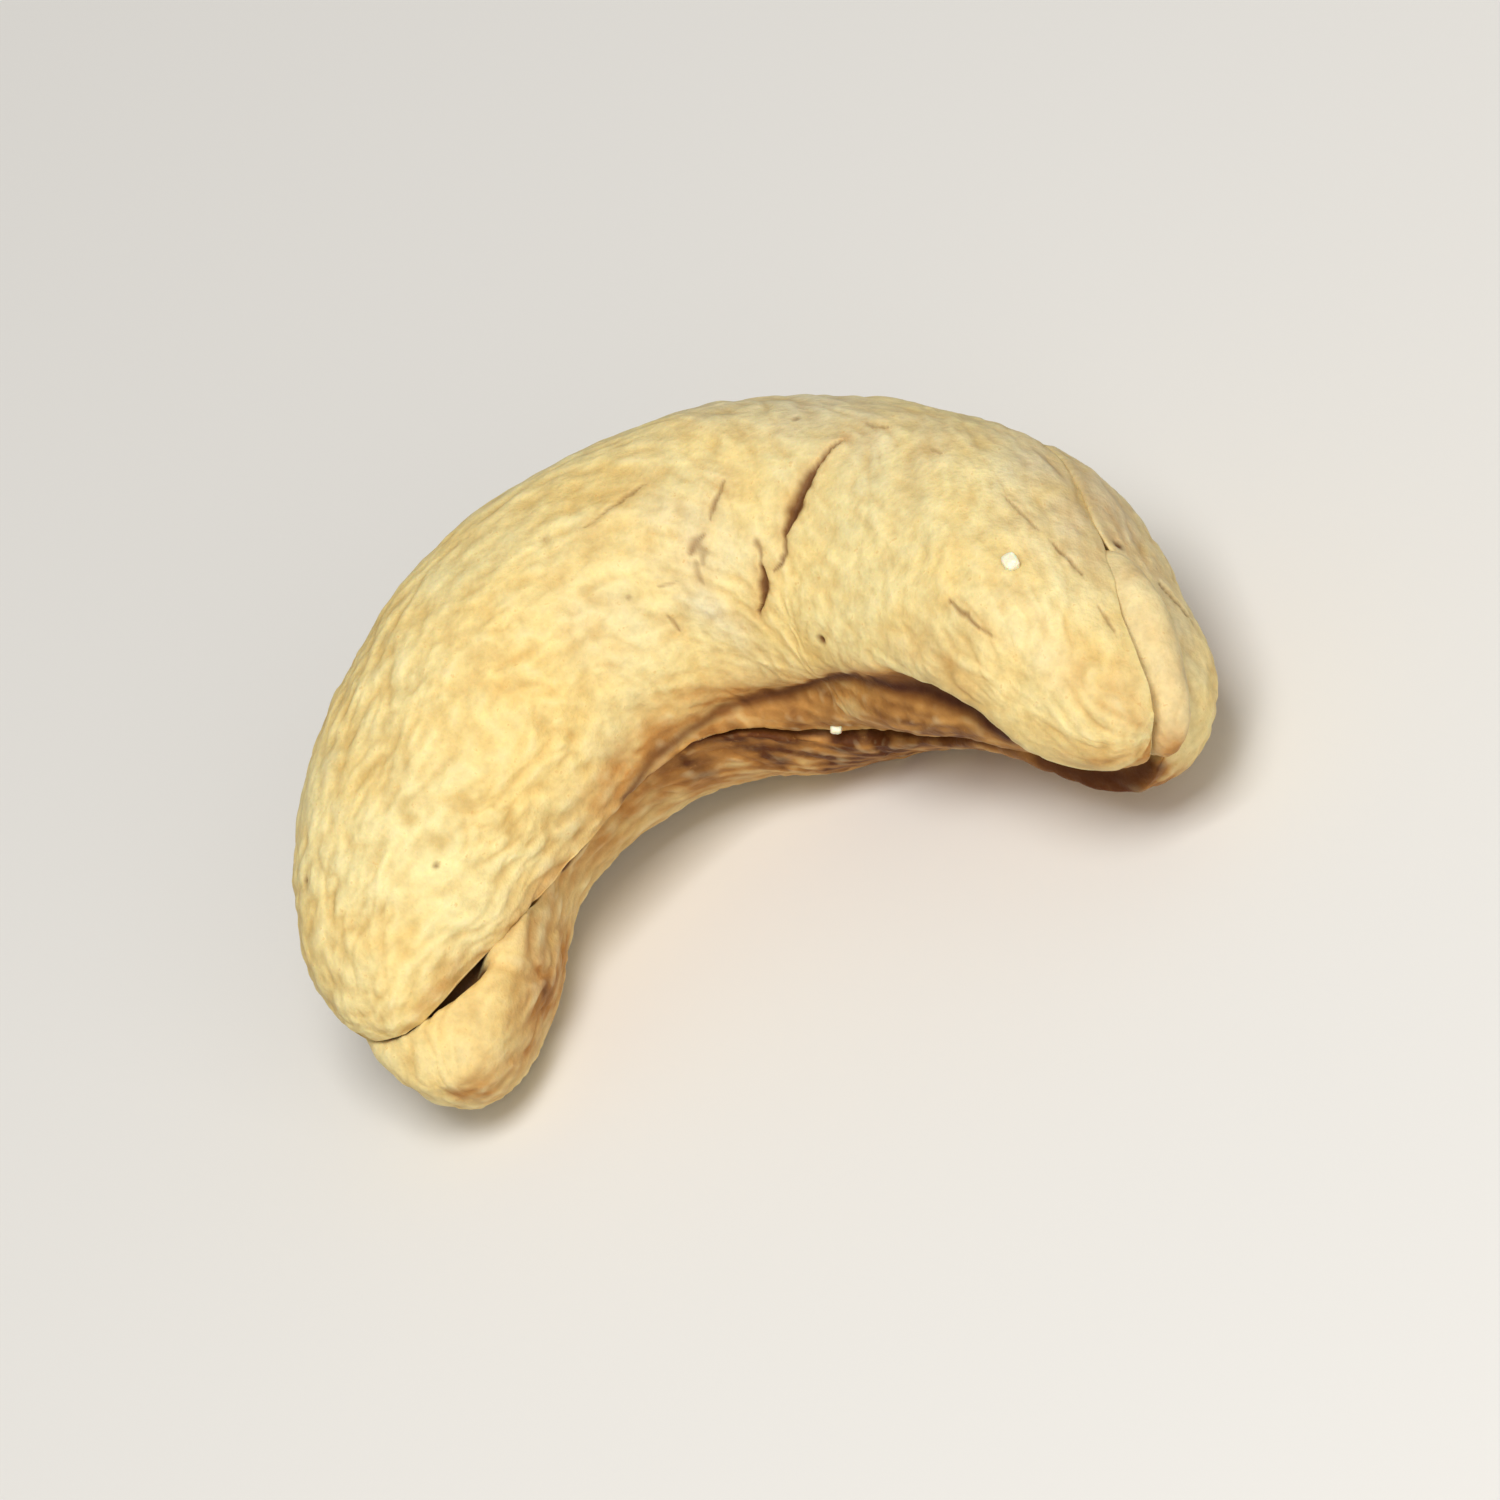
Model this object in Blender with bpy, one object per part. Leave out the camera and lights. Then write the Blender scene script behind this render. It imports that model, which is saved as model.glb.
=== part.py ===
"""A whole roasted cashew kernel, lying on its side.

The kernel is two thick curved halves, the seed leaves, which lie face to face along a seam, and the
germ, a small nub that the halves hold between them at one tip. Roasting has parted the halves a
little at the other tip. Each half is a round body whose points are moved by one formula: a rounded
section, domed on one side and nearly flat on the other, is carried along the kernel's curved middle
line and shrinks to a blunt tip at both ends.
"""

import bmesh
import bpy
import numpy as np

MM = 0.001  # one millimetre, in Blender's metres

# Stations along the middle line, from the parted tip round the back to the germ tip, in millimetres.
#   x, y    place of the middle line, seen from above the seam
#   seam    height of the seam between the halves
#   twist   turn of the section about the middle line, in degrees
#   width   half of the section's width across the seam
#   reach   how far a half bulges away from the seam
#   slide   how far a half has slipped outwards along the seam
STATIONS = np.array((
    # x      y    seam twist  upper: width reach slide  lower: width reach slide
    (-12.3, -8.0,  2.1, -10.0,       3.7, 4.2, -0.3,           4.0, 7.1, -1.1),
    (-11.5, -3.9,  1.5, -1.0,        4.7, 5.1, -0.2,           3.8, 6.2, -0.9),
    (-9.3,   0.2,  1.0, -1.0,        4.9, 5.9, -0.2,           3.6, 5.1, 0.0),
    (-5.7,   3.5,  0.3, -7.0,        4.8, 6.4, -0.1,           4.0, 4.8, 0.0),
    (-0.9,   5.0, -0.8, -9.0,        4.7, 6.7, -0.1,           4.5, 5.0, -0.4),
    (4.0,    4.1, -0.7, 9.0,         4.7, 6.3, 0.1,            4.7, 5.1, -0.4),
    (7.8,    1.2,  0.7, 22.0,        4.6, 5.7, 0.0,            4.8, 5.4, -0.2),
    (10.6,  -2.3,  1.9, 34.0,        3.9, 5.0, -0.2,           4.3, 5.3, -0.8),
    (12.9,  -6.0,  2.1, 52.0,        3.4, 4.4, -0.2,           3.9, 5.4, -1.4),
))
UPPER, LOWER = 1, -1
SECTION_COLUMNS = {UPPER: slice(4, 7), LOWER: slice(7, 10)}

# Blunt tips: 2 is a round end and higher is squarer, at the parted tip and at the germ tip.
BLUNTNESS = {UPPER: (2.4, 2.7), LOWER: (2.6, 2.9)}
# How far each half stops short of the middle line's two ends, as a share of its length.
SHORT_OF_END = {UPPER: (0.024, -0.003), LOWER: (-0.010, 0.010)}
# Roundness of a section: 1 is an ellipse and lower is squarer.
SECTION_POWER = {UPPER: 0.84, LOWER: 0.95}

GAP = 0.30  # between the two halves
LIP = 0.35  # height of the rounded rim of each inner face
LIP_POWER = 0.4  # lower keeps the inner face flatter

# The parted tip, where the rims are rounder and the mouth of the seam stands open.
PARTED_SHARE = 0.15  # share of the length that it takes
PARTED_LIP = {UPPER: -0.15, LOWER: 1.1}  # added to the rim's height there
PARTED_LIP_POWER = 0.25  # added to the rim's power there
MOUTH_SHARE = 0.105  # middle of the open mouth, as a share of the length
MOUTH_LENGTH = 0.035
MOUTH_OPENING = {UPPER: 0.25, LOWER: 0.16}

# The fold in the crook of the upper half: a crease with a raised ledge between it and the seam.
# The crease's path is given as shares of the length and degrees round the section.
FOLD_PATH = ((0.42, 179), (0.50, 176), (0.58, 169), (0.66, 157), (0.75, 144), (0.83, 144), (0.90, 160))
FOLD_FADE = 0.02
FOLD_DEPTH = 0.45
LEDGE_HEIGHT = 0.25
LEDGE_PLACE = 0.62  # how far the ledge lies on the way from the crease to the seam
CREASE_LEAST, CREASE_SHARE = np.radians(4), 0.15  # half widths: the least, and a share of that way
LEDGE_LEAST, LEDGE_SHARE = np.radians(3), 0.30

# Shallow hollows that roasting left: share of the length, turn round the section in degrees, depth,
# length as a share, and width in degrees.
HOLLOWS = {
    UPPER: ((0.46, 70, 0.22, 0.07, 26), (0.70, 60, 0.16, 0.06, 18), (0.24, 118, 0.14, 0.06, 22)),
    LOWER: ((0.38, 62, 0.25, 0.06, 24), (0.62, 100, 0.20, 0.08, 20), (0.80, 45, 0.18, 0.05, 20)),
}

# The germ: its middle seen from above, its drop below the seam, half its three sizes, the turn of its
# long side away from the middle line, and the room that both inner faces leave round it.
GERM_X, GERM_Y = 12.2, -3.4
GERM_DROP = 0.2
GERM_LONG, GERM_WIDE, GERM_THICK = 3.2, 1.6, 0.9
GERM_HEADING = np.radians(28.0)
GERM_ROOM = 0.30
GERM_SHARE = 0.9  # share of the length at which its section lies
SEAT_SHAPE = 0.9  # how fast the hollow for the germ shallows round it

# How the kernel lies on the table: leaned about X until its weight is over the two places that it
# rests on, under the parted arm and under the back, which are flattened by this much.
LEAN = np.radians(16.0)
REST_FLAT = 0.25

# Rings along and sides round each piece.
HALF_RINGS, HALF_SIDES = 44, 40
GERM_RINGS, GERM_SIDES = 12, 16


def signed_power(value, power):
    """The size of value raised to power, with value's own sign."""
    return np.sign(value) * np.abs(value) ** power


def bump(value, centre, spread):
    """A smooth hump, 1 at centre and near 0 at two spreads from it."""
    return np.exp(-(((value - centre) / spread) ** 2))


def through_stations(share):
    """A smooth curve through every station, at shares of their count: a cubic between each two."""
    first = 2 * STATIONS[0] - STATIONS[1]
    last = 2 * STATIONS[-1] - STATIONS[-2]
    rows = np.vstack([first, STATIONS, last])
    where = share * (len(STATIONS) - 1)
    i = np.clip(np.floor(where).astype(int), 0, len(STATIONS) - 2)
    f = (where - i)[:, None]
    a, b, c, d = rows[i], rows[i + 1], rows[i + 2], rows[i + 3]
    return 0.5 * (2 * b + (c - a) * f + (2 * a - 5 * b + 4 * c - d) * f**2 + (3 * b - a - 3 * c + d) * f**3)


def middle_line(share):
    """Station values, direction and outward direction at shares of the middle line's real length."""
    steps = np.linspace(-0.02, 1.0, 801)
    run = np.diff(through_stations(steps)[:, :2], axis=0)
    length = np.concatenate([[0.0], np.cumsum(np.hypot(run[:, 0], run[:, 1]))])
    start = np.interp(0.0, steps, length)
    at = np.interp(start + share * (length[-1] - start), length, steps)
    values = through_stations(at)
    ahead = through_stations(at + 0.001)[:, :2] - through_stations(at - 0.001)[:, :2]
    ahead /= np.hypot(ahead[:, 0], ahead[:, 1])[:, None]
    outward = np.stack([-ahead[:, 1], ahead[:, 0]], axis=1)
    return values, ahead, outward


def place(values, outward, across, height):
    """Carries section coordinates, across and above the seam, to their place on the kernel."""
    twist = np.radians(values[:, 3])
    side = across * np.cos(twist) - height * np.sin(twist)
    rise = across * np.sin(twist) + height * np.cos(twist)
    return np.column_stack([
        values[:, 0] + outward[:, 0] * side,
        values[:, 1] + outward[:, 1] * side,
        values[:, 2] + rise,
    ])


def germ_directions(ahead, outward):
    """The germ's long and cross directions, turned from the middle line's own by its heading."""
    cos, sin = np.cos(GERM_HEADING), np.sin(GERM_HEADING)
    return ahead * cos - outward * sin, outward * cos + ahead * sin


def germ_seat(values, ahead, outward, across):
    """How deep the hollow for the germ is at a point of an inner face."""
    offset = values[:, :2] + outward * across[:, None] - (GERM_X, GERM_Y)
    long_way, cross_way = germ_directions(ahead, outward)
    along = np.sum(offset * long_way, axis=1) / (GERM_LONG + GERM_ROOM)
    sideways = np.sum(offset * cross_way, axis=1) / (GERM_WIDE + GERM_ROOM)
    far = (along**2 + sideways**2) ** 1.5
    return (GERM_THICK + GERM_ROOM - GAP / 2) * np.exp(-SEAT_SHAPE * far)


def crook_fold(share, turn):
    """How far the crease and the ledge of the crook move the wall outwards from the section's middle."""
    at, degrees = np.array(FOLD_PATH).T
    crease_turn = np.radians(np.interp(share, at, degrees))
    room = np.pi - crease_turn
    rise = 1 / (1 + np.exp((at[0] - share) / FOLD_FADE))
    fall = 1 / (1 + np.exp((share - at[-1]) / FOLD_FADE))
    crease = FOLD_DEPTH * bump(turn, crease_turn, CREASE_LEAST + CREASE_SHARE * room)
    ledge = LEDGE_HEIGHT * bump(turn, crease_turn + LEDGE_PLACE * room, LEDGE_LEAST + LEDGE_SHARE * room)
    return rise * fall * (ledge - crease)


def hollows(half, share, turn):
    """Depth of the shallow hollows of one half."""
    depth = np.zeros_like(share)
    for at, degrees, deep, length, width in HOLLOWS[half]:
        depth += deep * bump(share, at, length) * bump(turn, np.radians(degrees), np.radians(width))
    return depth


def half_points(half, polar, turn):
    """Points of one half, in millimetres over the seam plane.

    polar runs from 0 at the parted tip to pi at the germ tip, and turn runs round the section:
    outer rim, dome, inner rim, inner face. The share of the length is (1 - cos polar) / 2, and the
    section's size falls to nothing at both tips as (1 - |cos polar| ^ bluntness) ^ (1 / bluntness).
    """
    bluntness = np.where(polar < np.pi / 2, *BLUNTNESS[half])
    share = (1 - np.cos(polar)) / 2
    size = np.clip(1 - np.abs(np.cos(polar)) ** bluntness, 0, None) ** (1 / bluntness)
    short_start, short_end = SHORT_OF_END[half]
    values, ahead, outward = middle_line(short_start + share * (1 - short_start - short_end))
    width, reach, slide = values[:, SECTION_COLUMNS[half]].T

    parted = bump(share, 0, PARTED_SHARE)
    lip = LIP + PARTED_LIP[half] * parted
    power = SECTION_POWER[half]
    dome = np.clip(np.sin(turn), 0, None) ** power
    inner = np.clip(-np.sin(turn), 0, None) ** (LIP_POWER + PARTED_LIP_POWER * parted)
    reach = np.clip(reach * size - GAP / 2 - lip * size, 0, None) - hollows(half, share, turn) * size
    across = width * size * signed_power(np.cos(turn), power)
    above = GAP / 2 + lip + reach * dome - lip * size * inner

    inner_share = np.clip(1 - (above - GAP / 2) / (3 * LIP), 0, 1)
    mouth = bump(share, MOUTH_SHARE, MOUTH_LENGTH) * np.clip(-np.cos(turn), 0, 1) ** 3
    seat = germ_seat(values, ahead, outward, across + slide)
    lift = MOUTH_OPENING[half] * mouth + (seat - half * GERM_DROP * seat / GERM_THICK)
    above = above + lift * inner_share
    if half == UPPER:
        across = across - crook_fold(share, turn)
    return place(values, outward, across + slide, half * above)


def germ_points(polar, turn):
    """Points of the germ: an ellipsoid laid along the rim near the germ tip."""
    values, ahead, outward = middle_line(np.full_like(polar, GERM_SHARE))
    long_way, cross_way = germ_directions(ahead, outward)
    long_part = GERM_LONG * np.cos(polar)
    cross_part = GERM_WIDE * np.sin(polar) * np.cos(turn)
    offset = (GERM_X, GERM_Y) - values[:, :2]
    offset = offset + long_way * long_part[:, None] + cross_way * cross_part[:, None]
    height = GERM_THICK * np.sin(polar) * np.sin(turn) - GERM_DROP
    points = place(values, outward, np.sum(offset * outward, axis=1), height)
    points[:, :2] += ahead * np.sum(offset * ahead, axis=1)[:, None]
    return points


def lean(points):
    """Turns points about X by LEAN, which brings the kernel's weight over the places it rests on."""
    x, y, z = points.T
    return np.column_stack([
        x,
        y * np.cos(LEAN) - z * np.sin(LEAN),
        y * np.sin(LEAN) + z * np.cos(LEAN),
    ])


def settle(pieces):
    """Lays the pieces on the table: leaned, flattened where they rest, and centred over the origin."""
    leaned = {name: lean(points) for name, points in pieces.items()}
    table = min(points[:, 2].min() for points in leaned.values()) + REST_FLAT
    for points in leaned.values():
        points[:, 2] = np.clip(points[:, 2] - table, 0, None)
    low = np.min([points.min(axis=0) for points in leaned.values()], axis=0)
    high = np.max([points.max(axis=0) for points in leaned.values()], axis=0)
    middle = (low + high) / 2 * (1, 1, 0)
    print("seam plane's origin, in mm:", (-middle[0], -middle[1], -table))
    return {name: points - middle for name, points in leaned.items()}


def round_body(rings, sides):
    """A unit sphere as a bmesh, with the polar angle and the turn of each of its vertices."""
    body = bmesh.new()
    bmesh.ops.create_uvsphere(body, u_segments=sides, v_segments=rings, radius=1)
    on_sphere = np.array([vertex.co for vertex in body.verts])
    polar = np.arccos(np.clip(on_sphere[:, 2], -1, 1))
    turn = np.arctan2(on_sphere[:, 1], on_sphere[:, 0]) % (2 * np.pi)
    return body, polar, turn


def finish(name, colour, roughness):
    """A plain roasted finish: colour is linear red, green and blue."""
    material = bpy.data.materials.new(name)
    material.use_nodes = True
    shader = material.node_tree.nodes["Principled BSDF"]
    shader.inputs["Base Color"].default_value = (*colour, 1)
    shader.inputs["Roughness"].default_value = roughness
    shader.inputs["Metallic"].default_value = 0
    return material


def add_piece(name, body, points, material, collection, parent):
    """Moves the body's vertices to points, given in millimetres, and makes it an object."""
    for vertex, point in zip(body.verts, points * MM):
        vertex.co = point
    if body.calc_volume(signed=True) < 0:
        bmesh.ops.reverse_faces(body, faces=body.faces)
    mesh = bpy.data.meshes.new(name)
    body.to_mesh(mesh)
    body.free()
    mesh.materials.append(material)
    mesh.shade_smooth()
    piece = bpy.data.objects.new(name, mesh)
    piece.parent = parent
    collection.objects.link(piece)
    return piece


def main():
    for old in list(bpy.data.objects):
        bpy.data.objects.remove(old)
    collection = bpy.data.collections.new("cashew_kernel")
    bpy.context.scene.collection.children.link(collection)
    kernel = bpy.data.objects.new("kernel_on_table", None)
    kernel.empty_display_size = 10 * MM
    collection.objects.link(kernel)

    lower = round_body(HALF_RINGS, HALF_SIDES)
    upper = round_body(HALF_RINGS, HALF_SIDES)
    germ = round_body(GERM_RINGS, GERM_SIDES)
    places = settle({
        "lower_half": half_points(LOWER, *lower[1:]),
        "upper_half": half_points(UPPER, *upper[1:]),
        "germ": germ_points(*germ[1:]),
    })
    finishes = {
        "lower_half": finish("roasted_lower_half", (0.68, 0.44, 0.19), 0.5),
        "upper_half": finish("roasted_upper_half", (0.76, 0.54, 0.25), 0.5),
        "germ": finish("roasted_germ", (0.66, 0.42, 0.17), 0.55),
    }
    bodies = {"lower_half": lower[0], "upper_half": upper[0], "germ": germ[0]}
    for name, points in places.items():
        add_piece(name, bodies[name], points, finishes[name], collection, kernel)


main()
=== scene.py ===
# %% [markdown]
# # A roasted cashew kernel
#
# A cashew kernel is bent like a bean. It is two thick halves, the seed leaves, which lie face to face
# along a seam, and the germ, a small nub that they hold between them at one tip. This lesson gives
# the plain solids of the kernel their real skin: wrinkles, cracks, pits, the fold in the crook, grains
# of salt and the colours that roasting leaves.
#
# The plain solids come first, because every new piece takes its place from them.

# %% Load the solids
import itertools
import math

import bpy
import numpy as np
from mathutils import Matrix


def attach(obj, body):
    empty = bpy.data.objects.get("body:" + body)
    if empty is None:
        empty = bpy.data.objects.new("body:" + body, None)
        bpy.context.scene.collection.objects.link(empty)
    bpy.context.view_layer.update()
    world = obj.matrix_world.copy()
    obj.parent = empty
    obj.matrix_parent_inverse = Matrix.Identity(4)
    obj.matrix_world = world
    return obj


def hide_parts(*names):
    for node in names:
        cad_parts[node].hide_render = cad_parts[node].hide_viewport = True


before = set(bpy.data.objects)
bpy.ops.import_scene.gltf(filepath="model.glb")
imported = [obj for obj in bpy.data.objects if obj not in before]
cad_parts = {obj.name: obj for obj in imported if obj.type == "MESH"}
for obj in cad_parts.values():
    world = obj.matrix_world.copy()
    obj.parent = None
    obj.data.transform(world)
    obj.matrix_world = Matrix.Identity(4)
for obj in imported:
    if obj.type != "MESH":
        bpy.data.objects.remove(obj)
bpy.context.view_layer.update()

MM = 0.001  # one millimetre, in Blender's metres

# %% [markdown]
# ## The camera
#
# A long lens far away keeps both tips of the kernel at the same scale, as in a close-up of food. The
# camera looks down at the kernel's crook and is rolled, so that the arch stands upright in the frame.

# %% Set the camera
FRAME_WIDTH = 42.84 * MM  # what the frame spans at the kernel
CAMERA_FAR = 0.8  # metres from the kernel
SENSOR = 36.0  # width of a full-size camera's sensor in mm, which a lens is named after
CLIP = (0.01, 10.0)  # nearest and farthest that the camera sees, in metres
AIM = np.array((-0.554, -0.842, 4.373)) * MM
CAMERA_TURN = tuple(math.radians(angle) for angle in (48.694, 27.568, 2.262))

lens = bpy.data.cameras.new("long_lens")
lens.sensor_width = SENSOR
lens.lens = SENSOR * CAMERA_FAR / FRAME_WIDTH
lens.clip_start, lens.clip_end = CLIP
camera = bpy.data.objects.new("long_lens", lens)
camera.rotation_euler = CAMERA_TURN
bpy.context.scene.collection.objects.link(camera)
turned = np.array(camera.rotation_euler.to_matrix())
camera.location = AIM + turned[:, 2] * CAMERA_FAR
bpy.context.scene.camera = camera
print("lens, in mm:", round(lens.lens))

# %% [markdown]
# ## The middle line
#
# Both halves are carried along one bent middle line. It goes through nine stations, and each station
# also says how wide the section is there, how far each half bulges away from the seam and how the
# section is twisted. A curve that passes through its stations is easy to steer: a number in the table
# is a size that can be measured on a kernel.

# %% Lay out the middle line
STATIONS = np.array((
    # x      y    seam twist  upper: width reach slide  lower: width reach slide
    (-12.3, -8.0,  2.1, -10.0,       3.7, 4.2, -0.3,           4.0, 7.1, -1.1),
    (-11.5, -3.9,  1.5, -1.0,        4.7, 5.1, -0.2,           3.8, 6.2, -0.9),
    (-9.3,   0.2,  1.0, -1.0,        4.9, 5.9, -0.2,           3.6, 5.1, 0.0),
    (-5.7,   3.5,  0.3, -7.0,        4.8, 6.4, -0.1,           4.0, 4.8, 0.0),
    (-0.9,   5.0, -0.8, -9.0,        4.7, 6.7, -0.1,           4.5, 5.0, -0.4),
    (4.0,    4.1, -0.7, 9.0,         4.7, 6.3, 0.1,            4.7, 5.1, -0.4),
    (7.8,    1.2,  0.7, 22.0,        4.6, 5.7, 0.0,            4.8, 5.4, -0.2),
    (10.6,  -2.3,  1.9, 34.0,        3.9, 5.0, -0.2,           4.3, 5.3, -0.8),
    (12.9,  -6.0,  2.1, 52.0,        3.4, 4.4, -0.2,           3.9, 5.4, -1.4),
))
UPPER, LOWER = 1, -1
SECTION_COLUMNS = {UPPER: slice(4, 7), LOWER: slice(7, 10)}


def through_stations(share):
    """A smooth curve through every station: a cubic between each two, whose slope at a station is
    half the step between the station's neighbours."""
    first = 2 * STATIONS[0] - STATIONS[1]
    last = 2 * STATIONS[-1] - STATIONS[-2]
    rows = np.vstack([first, STATIONS, last])
    where = share * (len(STATIONS) - 1)
    i = np.clip(np.floor(where).astype(int), 0, len(STATIONS) - 2)
    f = (where - i)[:, None]
    a, b, c, d = rows[i], rows[i + 1], rows[i + 2], rows[i + 3]
    square, cube = 2 * a - 5 * b + 4 * c - d, 3 * b - a - 3 * c + d
    return 0.5 * (2 * b + (c - a) * f + square * f**2 + cube * f**3)


LINE_STEPS = np.linspace(-0.02, 1.0, 801)  # from before the first station, as the lower half reaches past it
NUDGE = 0.001  # a step along the line that is short enough to give its direction
line_run = np.diff(through_stations(LINE_STEPS)[:, :2], axis=0)
line_length = np.concatenate([[0.0], np.cumsum(np.hypot(line_run[:, 0], line_run[:, 1]))])
LINE_START = np.interp(0.0, LINE_STEPS, line_length)
LENGTH = line_length[-1] - LINE_START


def middle_line(share):
    """Station values, direction and outward direction at shares of the middle line's real length."""
    at = np.interp(LINE_START + share * LENGTH, line_length, LINE_STEPS)
    values = through_stations(at)
    ahead = through_stations(at + NUDGE)[:, :2] - through_stations(at - NUDGE)[:, :2]
    ahead /= np.hypot(ahead[:, 0], ahead[:, 1])[:, None]
    outward = np.stack([-ahead[:, 1], ahead[:, 0]], axis=1)
    return values, ahead, outward


print("middle line, in mm:", round(float(LENGTH), 2))

# %% [markdown]
# ## The numbers of a half
#
# The skin is the same formula that made the plain solids, with the same numbers, so it lies on them.
# Only the seam and the germ's bed differ. The solids keep 0.3 mm between the pieces, and on a real
# kernel they all but touch, so the skin's gap, its rims and the room round the germ are smaller.

# %% Give the halves their numbers
BLUNTNESS = {UPPER: (2.4, 2.7), LOWER: (2.6, 2.9)}  # of the tips: 2 is round, higher is squarer
SHORT_OF_END = {UPPER: (0.024, -0.003), LOWER: (-0.010, 0.010)}  # of the middle line, as shares of it
SECTION_POWER = {UPPER: 0.84, LOWER: 0.95}  # of a section: 1 is an ellipse, lower is squarer

GAP = 0.08  # between the halves
LIP = 0.22  # height of the rounded rims
LIP_POWER = 0.4  # lower keeps the inner face flatter
LIFT_FADE = 3 * LIP  # height over which the hollows of an inner face fade out
PARTED_SHARE = 0.15  # the parted tip, where the rims are rounder and the seam's mouth stands open
PARTED_LIP, PARTED_LIP_POWER = {UPPER: -0.08, LOWER: 1.22}, 0.25  # added to LIP and LIP_POWER
MOUTH_SHARE, MOUTH_LENGTH, MOUTH_POWER = 0.105, 0.035, 3
MOUTH_OPENING = {UPPER: 0.25, LOWER: 0.16}

# The crease of the fold in the crook: shares of the length and degrees round the section.
FOLD_PATH = ((0.42, 179), (0.50, 176), (0.58, 169), (0.66, 157), (0.75, 144), (0.83, 144), (0.90, 160))
FOLD_FADE = 0.02
FOLD_DEPTH, LEDGE_HEIGHT = 0.45, 0.25
LEDGE_PLACE = 0.62  # how far the ledge lies on the way from the crease to the seam
CREASE_LEAST, CREASE_SHARE = np.radians(4), 0.15  # half width: the least, and a share of that way
LEDGE_LEAST, LEDGE_SHARE = np.radians(3), 0.30

# Shallow hollows: share of the length, turn in degrees, depth, length as a share, width in degrees.
HOLLOWS = {
    UPPER: ((0.46, 70, 0.22, 0.07, 26), (0.70, 60, 0.16, 0.06, 18), (0.24, 118, 0.14, 0.06, 22)),
    LOWER: ((0.38, 62, 0.25, 0.06, 24), (0.62, 100, 0.20, 0.08, 20), (0.80, 45, 0.18, 0.05, 20)),
}

GERM_X, GERM_Y, GERM_DROP = 12.2, -3.4, 0.2  # the germ's middle, and its drop below the seam
GERM_LONG, GERM_WIDE, GERM_THICK = 3.2, 1.6, 0.9  # half its sizes
GERM_HEADING = np.radians(28.0)  # turn of its long side away from the middle line
GERM_ROOM = 0.10  # room that the inner faces leave round it
GERM_SHARE = 0.9  # share of the length at which its section lies
SEAT_SHAPE = 1.5  # how fast its bed shallows

LEAN = np.radians(16.0)  # about X, which brings the weight over the two places that it rests on
SEAM_ORIGIN = np.array((0.2399, -0.4373, 4.4297))  # where the seam plane's origin lies over the table
print("gap in the skin's seam, in mm:", GAP)

# %% [markdown]
# ## The plain form of a half
#
# A half is one formula of two angles. One angle, polar, runs from the parted tip to the germ tip, and
# the other, turn, runs round the section: outer rim, dome, inner rim, inner face. A section is close
# to an ellipse, but slightly square, and the same kind of curve gives the blunt tips.


# %% Shape a half
def signed_power(value, power):
    """The size of value raised to power, with value's own sign."""
    return np.sign(value) * np.abs(value) ** power


def bump(value, centre, spread):
    """A smooth hump, 1 at centre and near 0 at two spreads from it."""
    return np.exp(-(((value - centre) / spread) ** 2))


def past(value, start, fade):
    """A smooth step, from 0 well before start to 1 well past it: 1 / (1 + e ^ ((start - value) / fade))."""
    return 1 / (1 + np.exp((start - value) / fade))


def place(values, outward, across, height):
    """Carries section coordinates, across and above the seam, to their place on the table: twisted,
    set on the middle line, leaned about X and moved to where the kernel rests."""
    twist = np.radians(values[:, 3])
    side = across * np.cos(twist) - height * np.sin(twist)
    rise = across * np.sin(twist) + height * np.cos(twist)
    x = values[:, 0] + outward[:, 0] * side
    y = values[:, 1] + outward[:, 1] * side
    z = values[:, 2] + rise
    leaned = np.column_stack([x, y * np.cos(LEAN) - z * np.sin(LEAN), y * np.sin(LEAN) + z * np.cos(LEAN)])
    return leaned + SEAM_ORIGIN


def germ_directions(ahead, outward):
    """The germ's long and cross directions, turned from the middle line's own by its heading."""
    cos, sin = np.cos(GERM_HEADING), np.sin(GERM_HEADING)
    return ahead * cos - outward * sin, outward * cos + ahead * sin


def germ_seat(values, ahead, outward, across):
    """How deep the germ's bed is at a point of an inner face: the full depth times e^(-SEAT_SHAPE r^4),
    where r is the distance to the germ's middle in the germ's own half sizes."""
    offset = values[:, :2] + outward * across[:, None] - (GERM_X, GERM_Y)
    long_way, cross_way = germ_directions(ahead, outward)
    along = np.sum(offset * long_way, axis=1) / (GERM_LONG + GERM_ROOM)
    sideways = np.sum(offset * cross_way, axis=1) / (GERM_WIDE + GERM_ROOM)
    square = along**2 + sideways**2
    return (GERM_THICK + GERM_ROOM - GAP / 2) * np.exp(-SEAT_SHAPE * square**2)


def crease_turn(share):
    """Turn of the fold's crease at shares of the length."""
    at, degrees = np.array(FOLD_PATH).T
    return np.radians(np.interp(share, at, degrees))


def fold_reach(share):
    """1 along the fold in the crook and 0 past its ends."""
    start, end = FOLD_PATH[0][0], FOLD_PATH[-1][0]
    return past(share, start, FOLD_FADE) * past(end, share, FOLD_FADE)


def crook_fold(share, turn):
    """How far the crease and the ledge of the crook move the wall outwards from the section's middle."""
    crease_at = crease_turn(share)
    room = np.pi - crease_at
    crease = FOLD_DEPTH * bump(turn, crease_at, CREASE_LEAST + CREASE_SHARE * room)
    ledge = LEDGE_HEIGHT * bump(turn, crease_at + LEDGE_PLACE * room, LEDGE_LEAST + LEDGE_SHARE * room)
    return fold_reach(share) * (ledge - crease)


def spot(share, turn, at, degrees, length, width):
    """A soft round patch, 1 at its middle; the turn is compared the short way round."""
    apart = (turn - math.radians(degrees) + np.pi) % (2 * np.pi) - np.pi
    return bump(share, at, length) * bump(apart, 0, math.radians(width))


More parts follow.
